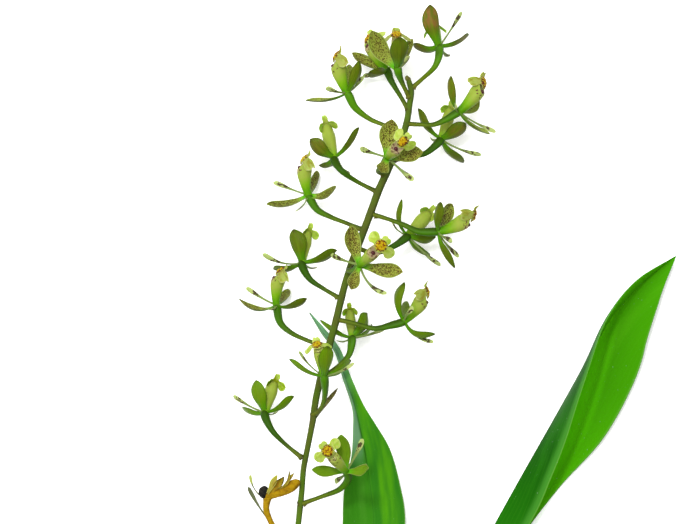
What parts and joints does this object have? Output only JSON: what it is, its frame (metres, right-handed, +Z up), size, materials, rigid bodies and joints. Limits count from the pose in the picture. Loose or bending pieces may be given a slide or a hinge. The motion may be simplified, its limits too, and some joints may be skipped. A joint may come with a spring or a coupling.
{
  "type": "orchid flowering shoot",
  "caption": "Cut epidendrum orchid shoot lying down: a curved flower stem with spotted green blooms with yellow lips, one withered bloom and long pointed leaves.",
  "frame": {"origin": "centre of the bounding box's base, on the surface the shoot lies on", "axes": "+Y along the shoot from the cut end to the flowering tip, +X to the right-hand leaf, +Z up off the surface, the side the flowers face"},
  "size_m": [0.2227, 0.444, 0.0627],
  "materials": {
    "stem_green": "satin green plant stem",
    "bloom_green": "satin petal tissue, green with brown spots",
    "lip_yellow": "satin yellow-green lip with an orange callus",
    "withered_orange": "dry orange-brown",
    "leaf_green": "smooth leathery leaf with a soft sheen"
  },
  "bodies": {
    "root": {"stem": "stem_green", "bloom_01": "bloom_green", "bloom_02": "bloom_green", "bloom_03": "bloom_green", "bloom_04": "bloom_green", "bloom_05": "bloom_green", "bloom_06": "bloom_green", "bloom_07": "bloom_green", "bloom_08": "bloom_green", "bloom_09": "bloom_green", "bloom_10": "bloom_green", "bloom_11": "bloom_green", "bloom_12": "bloom_green", "bloom_13": "bloom_green", "bloom_14": "bloom_green", "bloom_15": "bloom_green", "bloom_16": "bloom_green", "bloom_17": "bloom_green", "bloom_18": "bloom_green", "bloom_19": "bloom_green", "lip_01": "lip_yellow", "lip_02": "lip_yellow", "lip_03": "lip_yellow", "lip_04": "lip_yellow", "lip_05": "lip_yellow", "lip_06": "lip_yellow", "lip_07": "lip_yellow", "lip_08": "lip_yellow", "lip_09": "lip_yellow", "lip_10": "lip_yellow", "lip_11": "lip_yellow", "lip_12": "lip_yellow", "lip_13": "lip_yellow", "lip_14": "lip_yellow", "lip_15": "lip_yellow", "lip_16": "lip_yellow", "lip_17": "lip_yellow", "lip_18": "lip_yellow", "lip_19": "lip_yellow", "bloom_withered": "withered_orange", "leaf_back": "leaf_green", "leaf_right": "leaf_green"}
  },
  "joints": []
}
